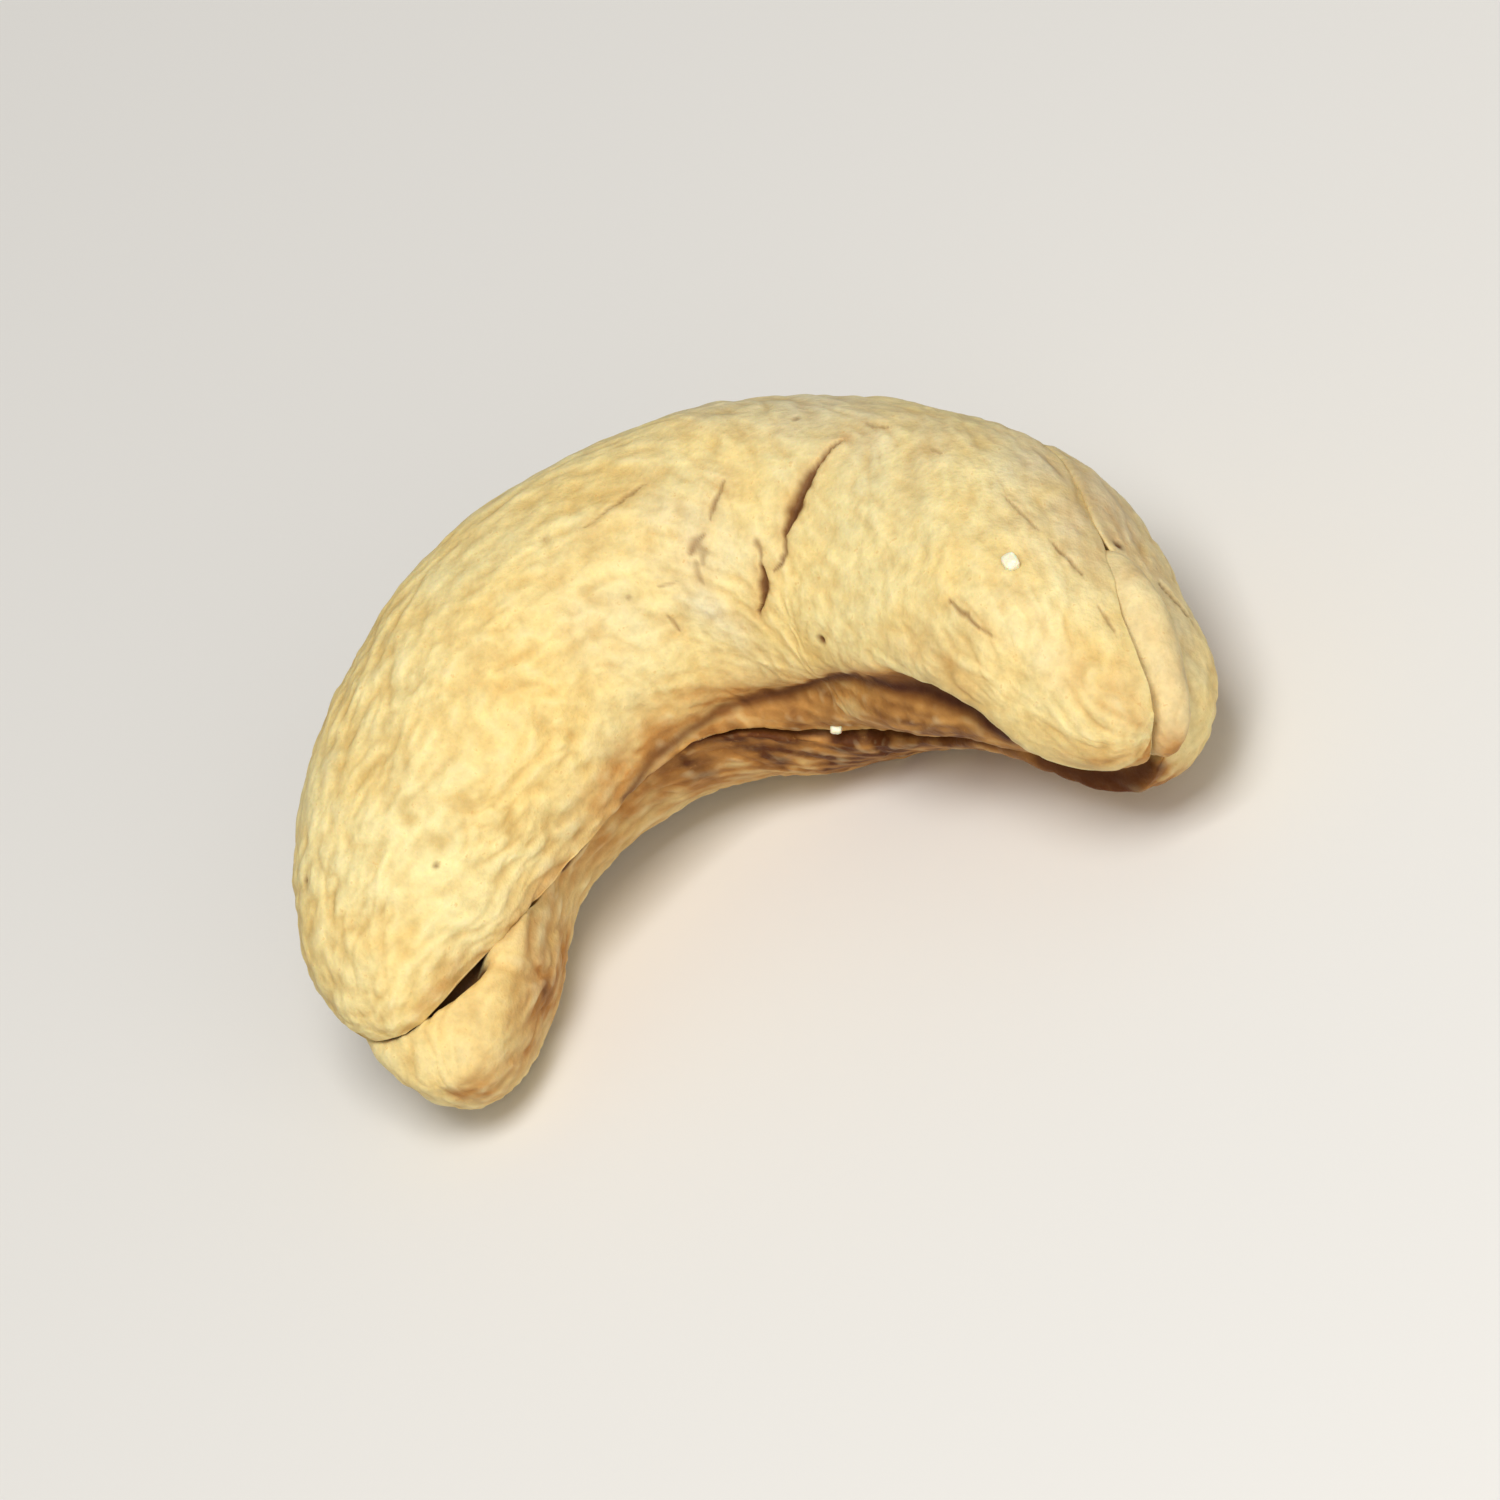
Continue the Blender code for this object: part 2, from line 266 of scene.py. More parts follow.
def tip_size(share, bluntness):
    """The section's size along the length: (1 - |1 - 2 share| ^ bluntness) ^ (1 / bluntness)."""
    blunt = np.where(share < 0.5, *bluntness)
    return np.clip(1 - np.abs(1 - 2 * share) ** blunt, 0, None) ** (1 / blunt)


def share_of(polar):
    """Share of a half's length at an angle polar."""
    return (1 - np.cos(polar)) / 2


def along_line(half, share):
    """Share of the middle line at a share of one half, which stops short of the line's ends."""
    short_start, short_end = SHORT_OF_END[half]
    return short_start + share * (1 - short_start - short_end)


def half_form(half, polar, turn):
    """Places of one half on the table, in mm, and the same points with the middle line straightened.

    The share of the length is (1 - cos polar) / 2. The section's across is cos turn and its height
    over the rim is sin turn, each raised to a power just under 1 and scaled by the section's size.
    """
    share = share_of(polar)
    size = tip_size(share, BLUNTNESS[half])
    line_share = along_line(half, share)
    values, ahead, outward = middle_line(line_share)
    width, reach, slide = values[:, SECTION_COLUMNS[half]].T

    parted = bump(share, 0, PARTED_SHARE)
    lip = LIP + PARTED_LIP[half] * parted
    power = SECTION_POWER[half]
    dome = np.clip(np.sin(turn), 0, None) ** power
    inner = np.clip(-np.sin(turn), 0, None) ** (LIP_POWER + PARTED_LIP_POWER * parted)
    hollow = sum(deep * spot(share, turn, at, degrees, length, wide)
                 for at, degrees, deep, length, wide in HOLLOWS[half])
    reach = np.clip(reach * size - GAP / 2 - lip * size, 0, None) - hollow * size
    across = width * size * signed_power(np.cos(turn), power)
    above = GAP / 2 + lip + reach * dome - lip * size * inner

    inner_share = np.clip(1 - (above - GAP / 2) / LIFT_FADE, 0, 1)
    mouth = bump(share, MOUTH_SHARE, MOUTH_LENGTH) * np.clip(-np.cos(turn), 0, 1) ** MOUTH_POWER
    seat = germ_seat(values, ahead, outward, across + slide)
    lift = MOUTH_OPENING[half] * mouth + (seat - half * GERM_DROP * seat / GERM_THICK)
    above = above + lift * inner_share
    if half == UPPER:
        across = across - crook_fold(share, turn)
    straight = np.column_stack([line_share * LENGTH, across + slide, half * above])
    return place(values, outward, across + slide, half * above), straight


middle_points, _ = half_form(UPPER, np.full(3, np.pi / 2), np.linspace(0, np.pi, 3))
print("outer rim, dome and inner rim of a middle section, in mm:", middle_points.round(1).tolist())

# %% [markdown]
# ## A fine grid
#
# The wrinkles are a few tenths of a millimetre wide, so the grid has a point every tenth of a
# millimetre. Even angles would crowd the points at the tips, so the steps are measured along the
# crest and round a middle section. Rows crowd a little where the main crack crosses the arch. The
# inner faces hardly show and get few points, but the lower half's is seen at the parted tip and gets
# more than the upper half's.

# %% Space the grid evenly
ROWS, SIDES = 372, 266
INNER_FACE_DENSITY = {UPPER: 0.2, LOWER: 0.55}  # of its points, where 1 is as many as on the dome
INNER_FACE_START = 0.3  # how far past a rim it begins, in radians
FINE_STEPS = 2001  # for measuring a path
MIDDLE_POLAR = 1.4  # of the section that is measured
CRACKED_SHARE, CRACKED_SPREAD, CRACKED_DENSITY = 0.60, 0.07, 0.9


def even_steps(points, angles, count, weight=1.0):
    """Angles at evenly spaced distances along a path: its running length is turned round into the
    angle at each length. A stretch with a higher weight counts for more, so it gets more angles."""
    steps = np.linalg.norm(np.diff(points, axis=0), axis=1) * weight
    length = np.concatenate([[0.0], np.cumsum(steps)])
    wanted = (np.arange(count) + 0.5) / count * length[-1]
    return np.interp(wanted, length, angles)


def half_grid(half):
    """Angles of the grid of one half: polar for its rows and turn for its sides."""
    fine = np.linspace(0, np.pi, FINE_STEPS)
    crest, _ = half_form(half, fine, np.full_like(fine, np.pi / 2))
    share = share_of((fine[1:] + fine[:-1]) / 2)
    crowded = 1 + CRACKED_DENSITY * bump(share, CRACKED_SHARE, CRACKED_SPREAD) * (half == UPPER)
    polar = even_steps(crest, fine, ROWS, crowded)
    fine = np.linspace(0, 2 * np.pi, FINE_STEPS)
    section, _ = half_form(half, np.full_like(fine, MIDDLE_POLAR), fine)
    middle = (fine[1:] + fine[:-1]) / 2
    inside = (middle > np.pi + INNER_FACE_START) & (middle < 2 * np.pi - INNER_FACE_START)
    turn = even_steps(section, fine, SIDES, np.where(inside, INNER_FACE_DENSITY[half], 1.0))
    return np.meshgrid(polar, turn, indexing="ij")


def closed_grid(rows, sides):
    """Angles of the grid of a small closed piece: the rows stop half a step short of both tips."""
    polar = (np.arange(rows) + 0.5) / rows * np.pi
    turn = np.arange(sides) / sides * 2 * np.pi
    return np.meshgrid(polar, turn, indexing="ij")


def normals_of(grid, half):
    """Unit normals of a closed grid: the cross product of the steps round it and along it."""
    along = np.gradient(grid, axis=0)
    around = np.roll(grid, -1, axis=1) - np.roll(grid, 1, axis=1)
    normal = half * np.cross(around, along)
    return normal / np.linalg.norm(normal, axis=-1, keepdims=True)


print("grid of a half:", ROWS, "rows of", SIDES, "points")

# %% [markdown]
# ## Noise for the wrinkles
#
# Skin that dries and roasts wrinkles without any pattern that repeats. Noise on a lattice gives that,
# and it is worked out for all points at once. It is read in the straightened coordinates, so that the
# wrinkles follow the bend of the kernel.

# %% Make lattice noise
SLOPES = 256  # how many random slopes are drawn
NOISE_GAIN = 1.6  # brings the heights nearer to -1 and 1


class Lattice:
    """Gradient noise: each corner of a unit lattice gets a random slope, and the heights that the
    slopes give inside a cell are blended by the smooth step 6f^5 - 15f^4 + 10f^3."""

    def __init__(self, seed):
        random = np.random.default_rng(seed)
        self.order = random.permutation(SLOPES)
        slopes = random.normal(size=(SLOPES, 3))
        self.slopes = slopes / np.linalg.norm(slopes, axis=1, keepdims=True)

    def __call__(self, points):
        cell = np.floor(points).astype(int)
        inside = points - cell
        fade = inside**3 * (inside * (inside * 6 - 15) + 10)
        total = np.zeros(points.shape[:-1])
        for corner in itertools.product((0, 1), repeat=3):
            x, y, z = np.moveaxis((cell + corner) % SLOPES, -1, 0)
            number = self.order[(self.order[x] + y) % SLOPES]
            slope = self.slopes[self.order[(number + z) % SLOPES]]
            share = np.prod(np.where(corner, fade, 1 - fade), axis=-1)
            total += share * np.sum(slope * (inside - corner), axis=-1)
        return total * NOISE_GAIN


print("noise at two points:", Lattice(1)(np.array([[0.3, 0.2, 0.9], [1.5, 2.5, 3.5]])).round(2))

# %% [markdown]
# ## Wrinkles
#
# A roasted kernel has broad lumps, dents of a millimetre or so, and fine wrinkles like grains of rice
# that run along the arms and are strongest on one of them. Lumps are plain noise. A crease is where a
# noise crosses zero, which gives thin lines that join and end as folds do. Nearly every layer is
# stretched along the kernel, as the real wrinkles are.

# %% Raise the wrinkles
BROAD_LUMPS = (
    # height  length  width  slant  calm: in mm and degrees, and the share that is left off the arm
    (0.110, 4.4, 2.8, 0, 1.0),
    (0.060, 1.9, 1.3, -10, 1.0),
)
FINE_LUMPS = (
    (0.062, 1.15, 0.42, -10, 0.28),
    (0.028, 0.60, 0.28, -10, 0.75),
    (0.024, 0.58, 0.50, 0, 1.8),
)
CREASES = (
    # depth  length  width  slant  calm
    (0.066, 2.1, 0.90, -14, 0.6),
    (0.050, 1.2, 0.50, -8, 0.55),
)
CREASE_REACH, CREASE_POWER = 0.42, 1.5  # how far from a zero of the noise it begins, and how sharp it is
# Creases come in patches. These are the patches' size in mm, how strong the creases are where the noise
# is 0, how much stronger where it is 1, and the least strength.
CREASED_SIZE, CREASED_MIDDLE, CREASED_SWING, CREASED_LEAST = 3.1, 0.55, 1.3, 0.1
FINE_SEED, CREASE_SEED, CREASED_SEED, SWAY_SEEDS = 20, 50, 5, (90, 91, 92)
SWAY, SWAY_SIZE = 0.45, 2.3  # how far the wrinkles wander, and over what distance
STREAKED_SHARE, STREAKED_SPREAD = 0.18, 0.22  # the arm on which they are strongest


def stretched(straight, length, width, slant):
    """Straightened coordinates in units of a wrinkle: its length along the slanted direction and its
    width across it."""
    slant = math.radians(slant)
    along = straight[..., 0] * math.cos(slant) + straight[..., 1] * math.sin(slant)
    aside = straight[..., 1] * math.cos(slant) - straight[..., 0] * math.sin(slant)
    return np.stack([along / length, aside / width, straight[..., 2] / width], axis=-1)


def wrinkles(straight, seed):
    """Heights in mm of the skin's broad lumps and of its fine wrinkles."""
    sway = np.stack([Lattice(seed + k)(straight / SWAY_SIZE) for k in SWAY_SEEDS], axis=-1)
    swayed = straight + SWAY * sway
    streaked = bump(straight[..., 0] / LENGTH, STREAKED_SHARE, STREAKED_SPREAD)

    def layers(rows, first_seed):
        """The seed, the strength in mm and the noise of each row of a table."""
        for k, (amount, length, width, slant, calm) in enumerate(rows, first_seed):
            heights = Lattice(k)(stretched(swayed, length, width, slant))
            yield k, amount * (calm + (1 - calm) * streaked), heights

    broad = sum(strength * heights for _, strength, heights in layers(BROAD_LUMPS, seed))
    fine = sum(strength * heights for _, strength, heights in layers(FINE_LUMPS, seed + FINE_SEED))
    for k, strength, heights in layers(CREASES, seed + CREASE_SEED):
        line = np.clip(1 - np.abs(heights) / CREASE_REACH, 0, 1) ** CREASE_POWER
        creased = CREASED_MIDDLE + CREASED_SWING * Lattice(k + CREASED_SEED)(straight / CREASED_SIZE)
        fine -= strength * np.clip(creased, CREASED_LEAST, 1) * line
    return broad, fine


print("layers of relief:", len(BROAD_LUMPS) + len(FINE_LUMPS) + len(CREASES))

# %% [markdown]
# ## Cracks, grooves and pits
#
# Roasting splits the skin here and there. Each crack is a ragged path drawn on the form, given as
# shares of the length, turns round the section and half widths. Its depth falls off with the distance
# to the path. The same distance gives the mask that paints it brown, and a wider one a faint halo. The
# lower half, which has no drawn crack, gets small ones at random places, from a fixed seed.

# %% Cut cracks and pits
CRACKS = {
    UPPER: (
        # depth  dark   path: share of the length, turn in degrees and half width in mm
        (0.26, 0.85, ((0.6496, 61.7, 0.04), (0.6433, 66.9, 0.06), (0.6400, 75.2, 0.10),
                      (0.6355, 80.2, 0.17), (0.6325, 86.0, 0.20), (0.6290, 91.0, 0.18),
                      (0.6258, 94.7, 0.12), (0.6243, 98.5, 0.06))),
        (0.10, 0.55, ((0.6250, 98.1, 0.06), (0.6266, 103.0, 0.09), (0.6240, 107.5, 0.10),
                      (0.6149, 111.0, 0.05))),
        (0.05, 0.40, ((0.5958, 104.3, 0.10), (0.6007, 107.9, 0.07), (0.6010, 112.0, 0.05))),
        (0.22, 0.85, ((0.6007, 111.8, 0.06), (0.6005, 116.0, 0.13), (0.5985, 120.0, 0.15),
                      (0.5971, 123.0, 0.10), (0.5931, 127.0, 0.05), (0.5837, 132.0, 0.04))),
        (0.08, 0.45, ((0.5616, 90.1, 0.05), (0.5573, 94.7, 0.09), (0.5521, 99.6, 0.12),
                      (0.5510, 103.5, 0.05))),
        (0.06, 0.42, ((0.5436, 109.4, 0.08), (0.5324, 114.0, 0.19), (0.5281, 118.0, 0.08))),
        (0.05, 0.32, ((0.5346, 113.0, 0.08), (0.5412, 115.5, 0.16), (0.5371, 120.0, 0.08))),
        (0.04, 0.30, ((0.5303, 121.0, 0.09), (0.5294, 125.3, 0.10), (0.5311, 128.5, 0.05))),
        (0.08, 0.40, ((0.4965, 92.2, 0.05), (0.4843, 94.5, 0.09), (0.4721, 97.4, 0.10),
                      (0.4574, 99.6, 0.07), (0.4424, 101.0, 0.04))),
        (0.04, 0.30, ((0.5053, 129.3, 0.05), (0.4955, 130.0, 0.08), (0.4848, 131.0, 0.05))),
        (0.06, 0.40, ((0.4766, 141.4, 0.04), (0.4783, 144.2, 0.08), (0.4816, 147.5, 0.05))),
        (0.07, 0.50, ((0.8350, 80.8, 0.05), (0.8500, 79.8, 0.10), (0.8620, 79.4, 0.09),
                      (0.8700, 79.0, 0.05))),
        (0.05, 0.35, ((0.8700, 79.0, 0.05), (0.8780, 78.8, 0.07), (0.8840, 77.5, 0.05))),
        (0.05, 0.35, ((0.7993, 31.6, 0.05), (0.8115, 29.5, 0.07), (0.8249, 27.2, 0.08),
                      (0.8400, 24.7, 0.05))),
        (0.07, 0.45, ((0.8579, 20.6, 0.05), (0.8706, 18.0, 0.09), (0.8829, 15.5, 0.10),
                      (0.8904, 14.0, 0.06))),
        (0.05, 0.35, ((0.9182, 12.8, 0.05), (0.9279, 11.5, 0.08), (0.9397, 9.9, 0.06))),
        (0.04, 0.30, ((0.6524, 49.7, 0.06), (0.6637, 50.4, 0.08), (0.6748, 46.9, 0.05))),
        (0.04, 0.30, ((0.7153, 43.6, 0.05), (0.7283, 42.7, 0.08), (0.7320, 42.0, 0.05))),
    ),
    LOWER: (),
}
PITS = {
    UPPER: (
        # share  turn  radius  depth  dark
        (0.6033, 58.4, 0.14, 0.06, 0.45),
        (0.6885, 127.1, 0.15, 0.14, 0.90),
        (0.1209, 125.7, 0.11, 0.07, 0.52),
        (0.1046, 58.2, 0.12, 0.08, 0.55),
        (0.4505, 131.8, 0.11, 0.04, 0.40),
        (0.4124, 96.9, 0.18, 0.05, 0.30),
        # A shallow dent under the right grain of salt, painted darker as the grain's shadow.
        (0.8559, 45.6, 0.38, 0.06, 0.28),
    ),
    LOWER: ((0.8766, 4.7, 0.16, 0.12, 0.80), (0.8269, 337.8, 0.12, 0.06, 0.60)),
}
# The random ones, with the least and the most of each of their values.
RANDOM_CRACKS = {UPPER: 0, LOWER: 12}
CRACK_PLACE = ((0.16, 0.92), (15, 125))  # share of the length and turn
CRACK_STEP = ((0, 0.018), (0, 7))  # middle and spread of its step along both
CRACK_WIDTHS = (0.07, 0.10, 0.07)
CRACK_DAMAGE = ((0.04, 0.12), (0.3, 0.6))  # depth and darkness
RANDOM_PITS = {UPPER: 0, LOWER: 10}
PIT_SPANS = ((0.08, 0.95), (10, 140), (0.07, 0.13), (0.04, 0.10), (0.3, 0.6))  # in the order of PITS
RAGGED_STEP, RAGGED_AMOUNT, RAGGED_WIDTH = 0.16, 0.035, (0.7, 1.3)
HALO, HALO_WIDTH = 0.30, 0.22  # of the browned skin round a crack


def on_form(half, spots):
    """Places in mm of spots given as shares of the length and turns in degrees."""
    share, turn = np.array(spots, dtype=float).T[:2]
    polar = np.arccos(1 - 2 * np.clip(share, 0, 1))
    points, _ = half_form(half, polar, np.radians(turn))
    return points


def ragged(path, random):
    """A path of places and half widths in short steps, each step pushed aside a little at random."""
    length = np.concatenate([[0.0], np.cumsum(np.linalg.norm(np.diff(path[:, :3], axis=0), axis=1))])
    at = np.linspace(0, length[-1], max(3, int(length[-1] / RAGGED_STEP) + 1))
    steps = np.stack([np.interp(at, length, column) for column in path.T], axis=1)
    steps[:, :3] += random.uniform(-RAGGED_AMOUNT, RAGGED_AMOUNT, (len(at), 3))
    steps[:, 3] *= random.uniform(*RAGGED_WIDTH, len(at))
    return steps


def cut(points, path):
    """How deep a crack is at each point, from 0 to 1: a hump over the distance to the nearest piece of
    the path, as wide as the path is there."""
    deepest = np.zeros(points.shape[:-1])
    for start, end in zip(path[:-1], path[1:]):
        run = end[:3] - start[:3]
        along = np.clip((points - start[:3]) @ run / (run @ run), 0, 1)
        far = np.linalg.norm(points - start[:3] - along[..., None] * run, axis=-1)
        deepest = np.maximum(deepest, bump(far, 0, start[3] + along * (end[3] - start[3])))
    return deepest


def scattered(half, random):
    """Short cracks and small pits at random places of a half's dome."""
    cracks, pits = [], []
    for _ in range(RANDOM_CRACKS[half]):
        share, turn = (random.uniform(*span) for span in CRACK_PLACE)
        share_step, turn_step = (random.normal(*span) for span in CRACK_STEP)
        path = [(share + k * share_step, turn + k * turn_step, width)
                for k, width in enumerate(CRACK_WIDTHS)]
        cracks.append((*(random.uniform(*span) for span in CRACK_DAMAGE), path))
    for _ in range(RANDOM_PITS[half]):
        pits.append([random.uniform(*span) for span in PIT_SPANS])
    return cracks, pits


def damage(half, points, seed):
    """Depth in mm of the cracks and pits of a half, how dark they are, and how far the skin round the
    cracks is browned, from 0 to 1."""
    random = np.random.default_rng(seed)
    more_cracks, more_pits = scattered(half, random)
    depth, dark, halo = np.zeros((3, *points.shape[:-1]))

    def mark(deep, darkness, hump):
        """Deepens and darkens the skin under a hump."""
        np.maximum(depth, deep * hump, out=depth)
        np.maximum(dark, darkness * hump, out=dark)

    for deep, darkness, spots in [*CRACKS[half], *more_cracks]:
        widths = np.array(spots)[:, 2:]
        path = ragged(np.hstack([on_form(half, spots), widths]), random)
        mark(deep, darkness, cut(points, path))
        path[:, 3] += HALO_WIDTH
        np.maximum(halo, HALO * darkness * cut(points, path), out=halo)
    for share, turn, radius, deep, darkness in [*PITS[half], *more_pits]:
        far = np.linalg.norm(points - on_form(half, [(share, turn)])[0], axis=-1)
        mark(deep, darkness, bump(far, 0, radius))
    return depth, dark, halo


print("drawn cracks:", len(CRACKS[UPPER]), "random ones:", RANDOM_CRACKS[LOWER])

# %% [markdown]
# ## Where roasting and painted shade show
#
# Roasting browns a kernel where it is thin: along the rims and at the tips. In the crook, along the wall
# under it, beside the seam at the parted tip, on the edge and bottom of the lobe there and on the underside
# at the germ tip, the brown is partly roasting and partly painted shade. The back stays pale, and some
# places turn chalky. These are soft patches in the same two coordinates as the form, so they are masks that
# travel with the mesh: toast and shade from 0, raw, to 1, brown, and chalk from 0 to 1. Noise breaks the
# patches up into blotches and into streaks along the kernel. Where a fold or a seam is deep, a line of
# painted shade is drawn along it.

# %% Lay out the browning
# Patches of brown. On the upper half the first, seventh, eighth and last patches, along the inner rim at the
# parted tip and at the right end of the fold, are partly painted shade. On the lower half the first four, on
# the wall under the crook, the underside at the germ tip and the edge and bottom of the lobe, are also
# partly painted shade. The others are roasting.
ROAST_AND_SHADE = {
    # share  turn  length  width  strength
    UPPER: ((0.12, 182, 0.12, 9, 0.40), (0.98, 125, 0.03, 30, 0.35), (0.30, 0, 0.40, 8, 0.25),
            (0.84, 4, 0.07, 12, 0.15), (0.98, 40, 0.03, 35, 0.22), (0.85, 108, 0.06, 16, 0.20),
            (0.77, 138, 0.05, 11, 0.75), (0.82, 165, 0.07, 14, 1.0), (0.02, 170, 0.04, 12, 0.32)),
    LOWER: ((0.58, 190, 0.36, 55, 1.0), (0.98, 202, 0.10, 60, 1.0), (0.11, 156, 0.13, 28, 0.52),
            (0.00, 140, 0.03, 70, 0.38), (0.55, 70, 0.25, 22, 0.25), (0.80, 100, 0.12, 40, 0.40),
            (0.88, 6, 0.09, 26, 0.18)),
}
CHALK = {
    UPPER: ((0.531, 140, 0.035, 16, 0.9), (0.53, 112, 0.06, 24, 0.55), (0.60, 46, 0.16, 26, 0.75),
            (0.80, 14, 0.10, 22, 0.75), (0.91, 60, 0.06, 22, 0.35), (0.42, 136, 0.05, 20, 0.35)),
    LOWER: ((0.88, 10, 0.14, 30, 0.8), (0.45, 30, 0.10, 30, 0.5)),
}
# Painted shade that rises towards the crease of the fold, and a brown on the ledge past it that is partly
# roasting and partly painted shade.
CREASE_SHADE, CREASE_SHADE_WIDTH = 0.62, math.radians(11)
LEDGE_TOAST_AND_SHADE = 0.60
CROOK_START, CROOK_FADE = 0.24, 0.03  # the share of the length from which these two count
# Blotches in the browning: their size in mm, and the strength of a layer that is so much finer.
BLOTCH_SIZE, FINER_BLOTCH, FINER = 1.6, 0.5, 2.3
STREAK_LENGTH, STREAK_WIDTH = 2.4, 0.35
TOAST_SWING, CHALK_SWING = 0.45, 0.8  # how far blotches and streaks change the two masks
BLOTCH_SEED, FINER_SEED, STREAK_SEED = 70, 71, 72
OUTLINE_STEPS = 181  # points along each side of a half's outline
# Lines of painted shade, where a fold or a seam is deep and little light gets in.
SHADE_LINES = {
    # darkness  half width in mm   path: share of the length and turn in degrees
    UPPER: ((0.88, 0.28, ((0.50, 175), (0.56, 171), (0.59, 166), (0.64, 158), (0.70, 150), (0.75, 146))),
            (1.00, 0.36, ((0.74, 146), (0.80, 146), (0.85, 151), (0.88, 160))),
            (0.62, 0.24, ((0.29, 180), (0.36, 178), (0.40, 178), (0.45, 177), (0.50, 175))),
            (0.20, 0.26, ((0.76, 6), (0.80, 3), (0.84, 2), (0.87, 1)))),
    LOWER: ((0.72, 0.50, ((0.90, 206), (0.94, 210), (0.97, 222), (0.99, 240))),
            (0.20, 0.26, ((0.79, 354), (0.82, 352), (0.85, 357), (0.875, 2))),
            (0.75, 0.14, ((0.23, 174), (0.26, 172), (0.31, 171), (0.36, 176), (0.40, 183), (0.44, 192),
                          (0.475, 198), (0.587, 203), (0.705, 204), (0.768, 200), (0.874, 207)))),
}


def patches(table, share, turn):
    """The soft patches of a table, joined."""
    total = np.zeros_like(share)
    for at, degrees, length, width, strength in table:
        total = np.maximum(total, strength * spot(share, turn, at, degrees, length, width))
    return total


def shade_lines(half, points):
    """Painted shade as lines in the crease of the fold and along the seams, from 0 to 1."""
    total = np.zeros(points.shape[:-1])
    for darkness, width, spots in SHADE_LINES[half]:
        path = np.column_stack([on_form(half, spots), np.full(len(spots), width)])
        total = np.maximum(total, darkness * cut(points, path))
    return total


def browning(half, share, turn, straight, seed):
    """Toast-and-shade and chalk masks. On the upper half painted shade also rises towards the crease of the
    crook, and a brown that is partly roasting and partly painted shade stays on the ledge past it."""
    toast = patches(ROAST_AND_SHADE[half], share, turn)
    if half == UPPER:
        beyond = turn - crease_turn(share)
        near = CREASE_SHADE * bump(np.clip(-beyond, 0, None), 0, CREASE_SHADE_WIDTH)
        near = np.where(beyond > 0, LEDGE_TOAST_AND_SHADE, near)
        in_crook = past(share, CROOK_START, CROOK_FADE) * (turn < np.pi + INNER_FACE_START)
        toast = np.maximum(toast, near * in_crook)
    blotches = Lattice(seed + BLOTCH_SEED)(straight / BLOTCH_SIZE)
    blotches += FINER_BLOTCH * Lattice(seed + FINER_SEED)(straight / BLOTCH_SIZE * FINER)
    streaks = Lattice(seed + STREAK_SEED)(stretched(straight, STREAK_LENGTH, STREAK_WIDTH, 0))
    toast = np.clip(toast * (1 + TOAST_SWING * blotches + TOAST_SWING * streaks), 0, 1)
    chalk = np.clip(patches(CHALK[half], share, turn) * (1 + CHALK_SWING * blotches), 0, 1)
    return toast, chalk


def covered(half, straight):
    """How far, in mm, points lie inside the other half's outline, seen along the seam's normal: the
    distance to the nearest point of the outline, and its negative outside."""
    share = share_of(np.linspace(0, np.pi, OUTLINE_STEPS))
    line_share = along_line(-half, share)
    values, _, _ = middle_line(line_share)
    width, _, slide = values[:, SECTION_COLUMNS[-half]].T
    reach = width * tip_size(share, BLUNTNESS[-half])
    along = np.concatenate([line_share, line_share]) * LENGTH
    across = np.concatenate([slide + reach, slide - reach])
    apart = np.empty(straight.shape[:2])
    for row, points in enumerate(straight):
        square = (points[:, :1] - along) ** 2 + (points[:, 1:2] - across) ** 2
        apart[row] = np.sqrt(square.min(axis=1))
    at = straight[..., 0] / LENGTH
    inside = np.abs(straight[..., 1] - np.interp(at, line_share, slide)) < np.interp(at, line_share, reach)
    return np.where(inside, apart, -apart)


print("patches of browning on the two halves:", [len(table) for table in ROAST_AND_SHADE.values()])

# %% [markdown]
# ## From grid to mesh
#
# A closed grid needs only one point at each tip. The masks travel with the mesh as point attributes,
# which a material reads by name.


# %% Make a mesh from a grid
def closed_mesh(name, grid, tips, facing, masks):
    """A mesh of four-sided faces between the rows, closed at both tips by triangles."""
    rows, sides = grid.shape[:2]
    points = np.vstack([tips[0], grid.reshape(-1, 3), tips[1]]) * MM
    side = np.arange(sides)
    after = (side + 1) % sides
    row = 1 + np.arange(rows - 1)[:, None] * sides
    quads = np.stack([row + side, row + after, row + sides + after, row + sides + side], axis=-1)
    start = np.column_stack([np.zeros(sides, int), after + 1, side + 1])
    last = 1 + (rows - 1) * sides
    end = np.column_stack([np.full(sides, last + sides), last + side, last + after])
    faces = [array.reshape(-1, array.shape[-1])[:, ::facing].tolist() for array in (quads, start, end)]
    mesh = bpy.data.meshes.new(name)
    mesh.from_pydata(points.tolist(), [], sum(faces, []))
    mesh.shade_smooth()
    for mask, values in masks.items():
        attribute = mesh.attributes.new(mask, "FLOAT", "POINT")
        full = np.concatenate([[values[0].mean()], values.ravel(), [values[-1].mean()]])
        attribute.data.foreach_set("value", full.astype(np.float32))
    piece = bpy.data.objects.new(name, mesh)
    bpy.context.scene.collection.objects.link(piece)
    print(name, "has", 2 * (rows - 1) * sides + 2 * sides, "triangles")
    return piece


# %% [markdown]
# ## The two halves
#
# The skin of a half is its plain form, pushed out and in along its normals by the relief. The seam is
# dark because no light gets in, so the inner faces are painted dark as far as the other half covers
# them, and less so near the tips. There the lower half rises until it all but closes the seam, as the
# flesh of a kernel that hasn't split does, and only a short slit is left open at the parted tip.

